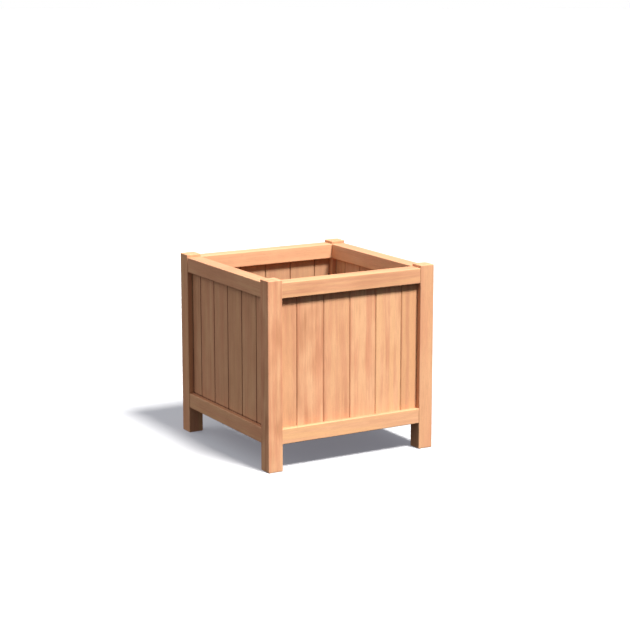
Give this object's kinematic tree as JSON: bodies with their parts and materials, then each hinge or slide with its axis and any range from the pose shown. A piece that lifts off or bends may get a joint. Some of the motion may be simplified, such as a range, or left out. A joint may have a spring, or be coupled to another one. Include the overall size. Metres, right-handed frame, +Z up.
{
  "type": "planter box",
  "caption": "Square open-topped hardwood planter with corner posts, top and bottom rails, tongue-and-groove board walls and a slatted floor, standing on its posts.",
  "frame": {"origin": "on the ground, at the centre of the square footprint", "axes": "+Z up through the open top, +Y from the front wall to the back wall, +X to the right seen from the front"},
  "size_m": [0.6, 0.6, 0.6],
  "materials": {
    "posts": "planed and oiled hardwood, orange pink, straight grain along the post, eased edges",
    "rails": "planed and oiled hardwood, orange pink, grain along the rail, eased edges",
    "boards": "planed and oiled hardwood boards with V joints, upright grain, each board a slightly different tone",
    "floor_timber": "planed hardwood, unoiled",
    "dowels": "plain turned hardwood dowel",
    "screws": "plain stainless steel"
  },
  "bodies": {
    "root": {"post_front_left": "posts", "post_front_right": "posts", "post_back_right": "posts", "post_back_left": "posts", "top_rail_front": "rails", "top_rail_right": "rails", "top_rail_back": "rails", "top_rail_left": "rails", "bottom_rail_front": "rails", "bottom_rail_right": "rails", "bottom_rail_back": "rails", "bottom_rail_left": "rails", "front_board_1": "boards", "front_board_2": "boards", "front_board_3": "boards", "front_board_4": "boards", "front_board_5": "boards", "front_board_6": "boards", "right_board_1": "boards", "right_board_2": "boards", "right_board_3": "boards", "right_board_4": "boards", "right_board_5": "boards", "right_board_6": "boards", "back_board_1": "boards", "back_board_2": "boards", "back_board_3": "boards", "back_board_4": "boards", "back_board_5": "boards", "back_board_6": "boards", "left_board_1": "boards", "left_board_2": "boards", "left_board_3": "boards", "left_board_4": "boards", "left_board_5": "boards", "left_board_6": "boards", "floor_bearer_front": "floor_timber", "floor_bearer_back": "floor_timber", "floor_slat_1": "floor_timber", "floor_slat_2": "floor_timber", "floor_slat_3": "floor_timber", "floor_slat_4": "floor_timber", "floor_slat_5": "floor_timber", "frame_dowels": "dowels", "bearer_screws": "screws", "floor_screws": "screws"}
  },
  "joints": []
}
